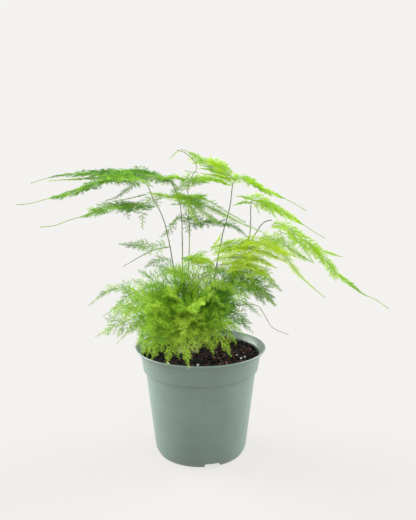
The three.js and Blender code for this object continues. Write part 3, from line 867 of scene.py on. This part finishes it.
def grow_spray(bm, layer, rng, kit, settings, look, spray):
    """Adds one spray: its midrib, side sprays in two flat rows, and a nearly bare tip."""
    points, reach, leafy, light, lean, openness = spray
    places, length = route_points(points, 60)
    thick = 0.34 if reach > 12 else 0.26
    rib = tube_along(bm, route_points(points, 18)[0],
                     lambda share: (thick + (look["tip_radius"] - thick) * share) * MM, 5)
    for face in rib:
        for k, loop in enumerate(face.loops):
            loop[layer].uv = (k % 2, 0.03 + 0.05 * (k // 2 % 2))
    travelled = look["bare_foot"] * MM
    side = rng.choice((-1, 1))
    while travelled < length:
        i = travelled / length * (len(places) - 1)
        low = min(int(i), len(places) - 2)
        place = places[low].lerp(places[low + 1], i - low)
        along = tangent_at(places, low)
        across = along.cross(UP).normalized()
        above = across.cross(along).normalized()
        front = Vector((0, -1, 0))
        front -= along * front.dot(along)
        tilt = math.radians(lean)
        above = (above * math.cos(tilt) + front * math.sin(tilt)).normalized()
        across = along.cross(above).normalized()
        share = travelled / (length * leafy)
        if share < 1:
            want = max(reach * MM * reach_at(share, look) * rng.uniform(0.78, 1.12), 1.7 * MM)
            size, mesh = kit.nearest(rng, want)
            heel = max(0.0, 1 - travelled / (7 * MM)) * look["heel"]
            swing = math.radians(rng.uniform(46, 64) - 20 * share + heel)
            lift = math.radians(rng.gauss(look["lift"], look["scatter"]))
            roll = Matrix.Rotation(math.radians(rng.gauss(0, look["scatter"] * 1.2)), 4, "X")
            scale = min(want / size, 1.25)
            travelled += (settings.side_spacing * look["spacing"] * openness
                          * min(1.0, max(0.5, want / (9 * MM))))
        else:
            mesh = rng.choice(kit.tufts)
            swing = math.radians(rng.uniform(8, 25))
            lift = math.radians(rng.uniform(-12, 12))
            roll = Matrix.Rotation(rng.uniform(0, 6.28), 4, "X")
            scale = rng.uniform(0.28, 0.45)
            travelled += 1.9 * MM
        aim = along * math.cos(swing) + across * side * math.sin(swing)
        aim = (aim * math.cos(lift) + above * math.sin(lift)).normalized()
        flip = Matrix.Scale(-side, 4, Vector((0, 1, 0)))
        # The spray's light value, with random mottle, shifts its needles' tone: partly their own
        # tone, partly painted shade on inner, back and underside sprays and painted light on
        # sprays that face the light.
        stamp(bm, mesh, aimed(place, aim, above) @ roll @ flip @ Matrix.Scale(scale, 4),
              min(max(light + rng.gauss(0, look["mottle"]), -0.95), 0.95))
        side = -side


def frond_mesh(kit, name, sprays, settings, look):
    """All the sprays of one frond in one bmesh, with draws that depend only on its name."""
    rng = random.Random(f"{settings.seed} {name}")
    bm = bmesh.new()
    for spray in sprays:
        part = bmesh.new()
        layer = part.loops.layers.uv.new(NEEDLE_MAP)
        grow_spray(part, layer, rng, kit, settings, look, spray)
        add_mesh(bm, mesh_from(part, name))
    return bm


def with_export_map(mesh):
    """Repeats the needle map under the name OFBake, for baking through."""
    spots = np.empty(len(mesh.loops) * 2, np.float32)
    mesh.uv_layers[NEEDLE_MAP].uv.foreach_get("vector", spots)
    mesh.uv_layers.new(name=EXPORT_MAP).uv.foreach_set("vector", spots)
    return mesh


def build_fronds(context, fronds, look):
    """Builds every frond of a table in one look, in mid-green or yellow-green."""
    settings = context.scene.fern_foliage
    kit = SprayKit(settings, look["ruffle"])
    green = foliage_material("frond_green", [
        (0.026, 0.135, 0.012), (0.090, 0.300, 0.016), (0.225, 0.500, 0.024),
        (0.400, 0.680, 0.045), (0.560, 0.780, 0.090)])
    yellow = foliage_material("frond_yellow_green", [
        (0.080, 0.230, 0.006), (0.185, 0.420, 0.006), (0.330, 0.625, 0.007),
        (0.470, 0.750, 0.012), (0.600, 0.810, 0.035)])
    for name, sprays in fronds.items():
        bright = name in YELLOW_GREEN
        bm = frond_mesh(kit, name, sprays, settings, look)
        mesh = with_export_map(mesh_from(bm, name))
        finish_piece(f"{name}_spray", mesh, yellow if bright else green,
                     [name])


# ---- Pot ----
def pot_outline(settings):
    """The pot's wall from the middle of the floor outside, over the lip, and back inside."""
    rim = settings.rim_radius
    top = settings.height
    band_foot = top - BAND_HEIGHT
    return rounded_profile([
        (0, 2.6 * MM, 0),
        (29.4 * MM, 2.6 * MM, 0.6 * MM),
        (30.4 * MM, 0, 0.3 * MM),
        (34.6 * MM, 0, 0.9 * MM),
        (36.5 * MM, 3.6 * MM, 1.2 * MM),
        (36.9 * MM, 5.0 * MM, 0.15 * MM),
        (37.15 * MM, 5.2 * MM, 0.15 * MM),
        (rim - 7.95 * MM, band_foot - 0.7 * MM, 0.25 * MM),
        (rim - 6.1 * MM, band_foot, 0.5 * MM),
        (rim - 4.1 * MM, top - 4.6 * MM, 1.2 * MM),
        (rim - 0.7 * MM, top - 1.9 * MM, 0.9 * MM),
        (rim, top - 0.3 * MM, 0.5 * MM),
        (rim - 0.9 * MM, top, 0.5 * MM),
        (rim - 1.9 * MM, top - 0.6 * MM, 0.5 * MM),
        (rim - 4.1 * MM - WALL, top - 3.8 * MM, 1.2 * MM),
        (rim - 6.1 * MM - WALL, band_foot + 0.8 * MM, 0.5 * MM),
        (rim - 7.95 * MM - WALL, band_foot - 1.0 * MM, 0.3 * MM),
        (36.0 * MM, 7.5 * MM, 1.0 * MM),
        (34.4 * MM, 4.1 * MM, 1.0 * MM),
        (0, 4.1 * MM, 0),
    ])


def drain_cutters():
    """Blocks and rods that cut the four foot slots and the four floor holes."""
    bm = bmesh.new()
    for degrees in DRAIN_TURNS:
        turn = Matrix.Rotation(math.radians(degrees), 4, "Z")
        slot = bmesh.ops.create_cube(bm, size=1.0, matrix=(
            turn @ Matrix.Translation((SLOT_PLACE, 0, 0))
            @ Matrix.Diagonal((*SLOT_SIZE, 1))))["verts"]
        top = [e for e in {e for v in slot for e in v.link_edges}
               if all(v.co.z > 0 for v in e.verts)]
        bmesh.ops.bevel(bm, geom=top, offset=0.7 * MM, segments=2, profile=0.5,
                        affect="EDGES", material=-1)
        hole = (Matrix.Rotation(math.radians(degrees) + 0.7, 4, "Z")
                @ Matrix.Translation((FLOOR_HOLE_PLACE, 0, 3 * MM)))
        bmesh.ops.create_cone(bm, cap_ends=True, segments=24, radius1=FLOOR_HOLE_RADIUS,
                              radius2=FLOOR_HOLE_RADIUS, depth=12 * MM, matrix=hole)
    return mesh_from(bm, "drain_cutters")


def cut_away(mesh, cutter_mesh):
    """The mesh with the cutters' shapes taken out of it."""
    body = bpy.data.objects.new("cut_body", mesh)
    cutter = bpy.data.objects.new("cut_tool", cutter_mesh)
    for thing in (body, cutter):
        bpy.context.scene.collection.objects.link(thing)
    cut = body.modifiers.new("drains", "BOOLEAN")
    cut.operation = "DIFFERENCE"
    cut.solver = "EXACT"
    cut.object = cutter
    graph = bpy.context.evaluated_depsgraph_get()
    result = bpy.data.meshes.new_from_object(body.evaluated_get(graph))
    for thing in (body, cutter):
        bpy.data.objects.remove(thing)
    return result


def build_pot(settings):
    """The pot: its spun skin with the drains cut out of it."""
    bm = bmesh.new()
    spun(bm, pot_outline(settings), POT_STEPS)
    cut = cut_away(mesh_from(bm, "pot_skin"), drain_cutters())
    bm = bmesh.new()
    bm.from_mesh(cut)
    bmesh.ops.remove_doubles(bm, verts=bm.verts[:], dist=1e-6)
    mesh = mesh_from(bm, "grower_pot", smooth_angle=math.radians(38))
    finish_piece("grower_pot", mesh, pot_plastic(tuple(settings.colour)),
                 ["nursery_pot"])


# ---- Soil ----
def soil_height(x, y, level):
    """The lumpy top of the soil: a low mound at the crown, banked up at the wall."""
    radius = math.hypot(x, y)
    mound = MOUND_RISE * max(0.0, 1 - radius / MOUND_RADIUS)
    mound += BANK_RISE * min(1.0, max(0.0, (radius - BANK_START) / BANK_WIDTH))
    place = Vector((x, y, 0)) * LUMP_SCALE
    lumps = noise.fractal(place, 1.0, 2.1, 4, noise_basis="PERLIN_ORIGINAL")
    return level + mound + lumps * LUMP_RISE


def build_soil(settings):
    """The soil plug, its top broken into lumps."""
    level = settings.level
    outline = [Vector(p) * MM for p in (
        (0, 4.5), (33.4, 4.5), (35.3, 8.5), (42.6, 69), (44.5, 70.9), (46.0, 78.6))]
    for k in range(SOIL_RINGS):
        outline.append(Vector((SOIL_RADIUS * (1 - (k + 0.5) / SOIL_RINGS), level)))
    outline.append(Vector((0, level)))
    bm = bmesh.new()
    spun(bm, outline, SOIL_STEPS)
    for vert in bm.verts:
        if vert.co.z > level - 0.5 * MM:
            vert.co.z = soil_height(vert.co.x, vert.co.y, level)
    mesh = mesh_from(bm, "soil_plug", smooth_angle=math.radians(60))
    finish_piece("soil_plug", mesh, soil_material(), ["potting_soil"])


def scattered(rng, count, level, reach):
    """Random places on the soil, evenly spread over its top."""
    for _ in range(count):
        radius = reach * math.sqrt(rng.random())
        turn = rng.uniform(0, 2 * math.pi)
        x, y = radius * math.cos(turn), radius * math.sin(turn)
        yield Vector((x, y, soil_height(x, y, level)))


def build_crumbs(settings):
    """Loose crumbs of peat: small uneven lumps."""
    rng = random.Random(11)
    bm = bmesh.new()
    for place in scattered(rng, settings.crumbs, settings.level, 45 * MM):
        size = rng.choice((0.5, 0.6, 0.8, 1.0, 1.5)) * MM * rng.uniform(0.8, 1.2)
        turn = Matrix.Rotation(rng.uniform(0, 6.3), 4, (rng.random(), rng.random(), 1))
        squash = Matrix.Diagonal((1, rng.uniform(0.6, 1), rng.uniform(0.5, 0.8), 1))
        crumb = bmesh.new()
        bmesh.ops.create_icosphere(crumb, subdivisions=1, radius=size)
        for vert in crumb.verts:
            vert.co *= rng.uniform(0.75, 1.2)
        lump = mesh_from(crumb, "crumb")
        lump.transform(Matrix.Translation(place + UP * size * 0.25) @ turn @ squash)
        add_mesh(bm, lump)
    finish_piece("peat_crumbs", mesh_from(bm, "peat_crumbs"), soil_material(), [])


def build_chips(settings):
    """Bits of bark and fibre: small bevelled splinters lying at all angles."""
    rng = random.Random(23)
    bm = bmesh.new()
    for place in scattered(rng, settings.chips, settings.level, 44.5 * MM):
        if place.x < rng.uniform(-30, 12) * MM:
            continue
        length = rng.uniform(1.6, 5.0) * MM
        breadth = length * rng.uniform(0.22, 0.5)
        thick = rng.uniform(0.5, 1.1) * MM
        chip = bmesh.new()
        bmesh.ops.create_cube(chip, size=1.0,
                              matrix=Matrix.Diagonal((length, breadth, thick, 1)))
        bmesh.ops.bevel(chip, geom=chip.edges[:], offset=thick * 0.28, segments=1,
                        profile=0.5, affect="EDGES", material=-1)
        for vert in chip.verts:
            vert.co += Vector([rng.uniform(-0.12, 0.12) * thick * 2 for _ in range(3)])
        bit = mesh_from(chip, "chip")
        turn = (Matrix.Rotation(rng.uniform(0, 6.3), 4, "Z")
                @ Matrix.Rotation(rng.uniform(-0.6, 0.6), 4, "Y")
                @ Matrix.Rotation(rng.uniform(-0.6, 0.6), 4, "X"))
        bit.transform(Matrix.Translation(place + UP * 0.7 * MM) @ turn)
        add_mesh(bm, bit)
    finish_piece("bark_chips", mesh_from(bm, "bark_chips"), bark_material(), [])


def build_perlite(settings):
    """A few white grains of perlite."""
    rng = random.Random(5)
    bm = bmesh.new()
    places = list(scattered(rng, settings.perlite, settings.level, 42 * MM))
    places.append(Vector((29 * MM, -8 * MM, soil_height(29 * MM, -8 * MM, settings.level))))
    for place in places:
        grain = bmesh.new()
        bmesh.ops.create_icosphere(grain, subdivisions=2, radius=rng.uniform(0.6, 1.1) * MM)
        for vert in grain.verts:
            vert.co *= rng.uniform(0.8, 1.15)
        lump = mesh_from(grain, "grain")
        lump.transform(Matrix.Translation(place + UP * 0.8 * MM))
        add_mesh(bm, lump)
    finish_piece("perlite_grains", mesh_from(bm, "perlite_grains"), perlite_material(),
                 [])


# ---- Crown and stems ----
def build_crown():
    """The knobbly crown, with the stubs of old stems on it."""
    low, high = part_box("root_crown")
    centre = (Vector(low) + Vector(high)) / 2
    size = Vector(high) - Vector(low)
    bm = bmesh.new()
    bmesh.ops.create_icosphere(bm, subdivisions=4, radius=0.5, matrix=(
        Matrix.Translation((centre.x, centre.y, low[2] + size.z * 0.35))
        @ Matrix.Diagonal((size.x * 0.96, size.y * 0.96, size.z * 1.2, 1))))
    middle = Vector((centre.x, centre.y, low[2]))
    for vert in bm.verts:
        away = vert.co - middle
        vert.co += away * 0.22 * noise.noise(vert.co * 420)
    rng = random.Random(3)
    for k in range(9):
        turn = k * 2 * math.pi / 9 + rng.uniform(-0.2, 0.2)
        foot = middle + Vector((math.cos(turn) * 5 * MM, math.sin(turn) * 5 * MM, 2 * MM))
        tip = foot + Vector((math.cos(turn), math.sin(turn), 2.2)) * rng.uniform(1.2, 2.2) * MM
        tube_along(bm, [foot, foot.lerp(tip, 0.5), tip], lambda share: (0.9 - 0.25 * share) * MM,
                   8)
    mesh = mesh_from(bm, "root_crown_knob", smooth_angle=math.radians(50))
    finish_piece("root_crown_knob", mesh, stem_material(
        "crown_wood", (0.040, 0.030, 0.016), (0.150, 0.115, 0.055)),
        ["root_crown"])


def add_scales(bm, places, rng, spacing, size):
    """The small pointed scales at a stem's knots."""
    step = max(1, round(spacing / (places[1] - places[0]).length))
    for i in range(step, len(places) - 1, step):
        along = tangent_at(places, i)
        out = Vector((rng.uniform(-1, 1), rng.uniform(-1, 1), rng.uniform(-0.3, 0.3)))
        out = (out - along * out.dot(along)).normalized()
        aim = (along * 0.9 + out * 0.5).normalized()
        centre = places[i] + out * size * 0.35 + aim * size * 0.5
        matrix = Matrix.Translation(centre) @ aim.to_track_quat("Z", "Y").to_matrix().to_4x4()
        bmesh.ops.create_cone(bm, cap_ends=True, segments=6, radius1=size * 0.42, radius2=0,
                              depth=size * 1.6, matrix=matrix)


def build_stems():
    """Wiry stems that thin upwards, each with scales at its knots."""
    rng = random.Random(41)
    green = stem_material("stem_green", (0.080, 0.105, 0.050), (0.180, 0.240, 0.090))
    fresh = stem_material("shoot_green", (0.110, 0.150, 0.035), (0.250, 0.330, 0.070))
    for name, points in STEMS.items():
        young = name == "new_shoot"
        places, _ = route_points(points, 90)
        for i in range(2, len(places) - 1):
            places[i] += Vector((rng.gauss(0, 1), rng.gauss(0, 1), 0)) * 0.09 * MM
        bm = bmesh.new()
        foot, tip = (0.50, 0.30) if young else (0.62, 0.38)
        tube_along(bm, places, lambda share: (foot + (tip - foot) * share) * MM, 8)
        add_scales(bm, places, rng, 11 * MM, 0.9 * MM)
        mesh = mesh_from(bm, name, smooth_angle=math.radians(50))
        finish_piece(f"{name}_wiry", mesh, fresh if young else green, [name])


def build_twigs():
    """Bare twigs, each with the stubs of its side twigs."""
    rng = random.Random(57)
    dry = stem_material("dry_twig", (0.180, 0.180, 0.110), (0.340, 0.350, 0.220))
    for name, points in TWIGS.items():
        places, length = route_points(points, 40)
        bm = bmesh.new()
        tube_along(bm, places, lambda share: (0.45 - 0.2 * share) * MM, 6)
        add_scales(bm, places, rng, 5 * MM, 0.7 * MM)
        mesh = mesh_from(bm, name, smooth_angle=math.radians(50))
        finish_piece(f"{name}_stalk", mesh, dry, [name])


# ---- Stage ----
def soft_sun(name, towards, power, spread):
    """Wide, even studio light that shines along towards; spread is in degrees."""
    light = bpy.data.lights.new(name, "SUN")
    light.energy = power
    light.angle = math.radians(spread)
    lamp = bpy.data.objects.new(name, light)
    lamp.rotation_euler = Vector(towards).to_track_quat("-Z", "Y").to_euler()
    bpy.context.scene.collection.objects.link(lamp)


def build_stage(settings):
    """A wide pale floor under an even pale room, soft light and the camera."""
    bm = bmesh.new()
    bmesh.ops.create_grid(bm, x_segments=2, y_segments=2, size=FLOOR_HALF)
    mesh = mesh_from(bm, "floor")
    material, nodes, links, shader = new_material("pale_floor")
    cloud = noise_on_piece(nodes, links, 1.5, 2)
    low = [c * 0.99 for c in settings.floor_colour]
    tint = ramp(nodes, links, cloud.outputs["Fac"], [
        (0.35, low), (0.65, tuple(settings.floor_colour))])
    links.new(tint.outputs["Color"], shader.inputs["Base Color"])
    shader.inputs["Roughness"].default_value = 1.0
    shader.inputs["Specular IOR Level"].default_value = 0.0
    shader.inputs["Emission Color"].default_value = (1.0, 0.985, 0.965, 1)
    shader.inputs["Emission Strength"].default_value = 0.720
    mesh.materials.append(material)
    floor = bpy.data.objects.new("floor", mesh)
    bpy.context.scene.collection.objects.link(floor)

    world = bpy.data.worlds.new("soft_room")
    bpy.context.scene.world = world
    world.use_nodes = True
    backdrop = world.node_tree.nodes["Background"]
    backdrop.inputs["Color"].default_value = (0.905, 0.888, 0.873, 1)
    backdrop.inputs["Strength"].default_value = 1.0

    soft_sun("left_box", (1.0, -0.45, -0.30), 7.4, 50)
    soft_sun("right_box", (-1.0, -0.45, -0.30), 5.4, 50)
    soft_sun("top_box", (0.15, 0.35, -1.0), 1.0, 70)

    camera_data = bpy.data.cameras.new("camera")
    camera_data.lens = CAMERA_LENS
    camera_data.sensor_width = 36
    camera_data.clip_start = 0.01
    camera_data.clip_end = 300
    camera = bpy.data.objects.new("camera", camera_data)
    camera.location = CAMERA_PLACE
    camera.rotation_euler = (math.radians(90 - CAMERA_PITCH), 0, 0)
    bpy.context.scene.collection.objects.link(camera)
    bpy.context.scene.camera = camera
    bpy.context.scene.view_settings.view_transform = "Standard"


# ---- Operators ----
class FERN_OT_pot(bpy.types.Operator):
    """Build the grower pot with its lip, band, foot ring and drains"""
    bl_idname = "fern.pot"
    bl_label = "Grower Pot"

    def execute(self, context):
        build_pot(context.scene.fern_pot)
        return {"FINISHED"}


class FERN_OT_soil(bpy.types.Operator):
    """Build the soil with its crumbs, bark chips and perlite"""
    bl_idname = "fern.soil"
    bl_label = "Potting Soil"

    def execute(self, context):
        settings = context.scene.fern_soil
        build_soil(settings)
        build_crumbs(settings)
        build_chips(settings)
        build_perlite(settings)
        return {"FINISHED"}


class FERN_OT_crown(bpy.types.Operator):
    """Build the woody crown that the stems rise from"""
    bl_idname = "fern.crown"
    bl_label = "Root Crown"

    def execute(self, context):
        build_crown()
        return {"FINISHED"}


class FERN_OT_stems(bpy.types.Operator):
    """Build the wiry stems and the bare twigs"""
    bl_idname = "fern.stems"
    bl_label = "Stems and Twigs"

    def execute(self, context):
        build_stems()
        build_twigs()
        return {"FINISHED"}


class FERN_OT_high_fronds(bpy.types.Operator):
    """Build the flat fronds that arch out at the top"""
    bl_idname = "fern.high_fronds"
    bl_label = "High Fronds"

    def execute(self, context):
        build_fronds(context, HIGH_FRONDS, HIGH_LOOK)
        return {"FINISHED"}


class FERN_OT_middle_fronds(bpy.types.Operator):
    """Build the fronds between the top and the low bush"""
    bl_idname = "fern.middle_fronds"
    bl_label = "Middle Fronds"

    def execute(self, context):
        build_fronds(context, MIDDLE_FRONDS, MIDDLE_LOOK)
        return {"FINISHED"}


class FERN_OT_low_fronds(bpy.types.Operator):
    """Build the bushy fronds around the crown"""
    bl_idname = "fern.low_fronds"
    bl_label = "Low Fronds"

    def execute(self, context):
        build_fronds(context, LOW_FRONDS, LOW_LOOK)
        return {"FINISHED"}


class FERN_OT_stage(bpy.types.Operator):
    """Build the floor, the lights and the camera"""
    bl_idname = "fern.stage"
    bl_label = "Stage"

    def execute(self, context):
        build_stage(context.scene.fern_stage)
        return {"FINISHED"}


class FERN_PT_panel(bpy.types.Panel):
    bl_label = "Potted Asparagus Fern"
    bl_idname = "FERN_PT_panel"
    bl_space_type = "VIEW_3D"
    bl_region_type = "UI"
    bl_category = "Fern"

    def draw(self, context):
        for group in SETTINGS:
            settings = getattr(context.scene, group)
            for name in settings.bl_rna.properties.keys():
                if name not in ("name", "rna_type"):
                    self.layout.prop(settings, name)
        for operator in OPERATORS:
            self.layout.operator(operator.bl_idname)


SETTINGS = {
    "fern_pot": PotSettings,
    "fern_soil": SoilSettings,
    "fern_foliage": FoliageSettings,
    "fern_stage": StageSettings,
}
OPERATORS = (
    FERN_OT_stage, FERN_OT_pot, FERN_OT_soil, FERN_OT_crown, FERN_OT_stems,
    FERN_OT_high_fronds, FERN_OT_middle_fronds, FERN_OT_low_fronds,
)


def register():
    for cls in (*SETTINGS.values(), *OPERATORS, FERN_PT_panel):
        bpy.utils.register_class(cls)
    for group, cls in SETTINGS.items():
        setattr(bpy.types.Scene, group, PointerProperty(type=cls))


def unregister():
    for group in SETTINGS:
        delattr(bpy.types.Scene, group)
    for cls in (FERN_PT_panel, *reversed(OPERATORS), *SETTINGS.values()):
        bpy.utils.unregister_class(cls)


def main():
    register()
    bpy.ops.fern.stage()
    bpy.ops.fern.pot()
    bpy.ops.fern.soil()
    bpy.ops.fern.crown()
    bpy.ops.fern.stems()
    bpy.ops.fern.high_fronds()
    bpy.ops.fern.middle_fronds()
    bpy.ops.fern.low_fronds()


if __name__ == "__main__":
    main()
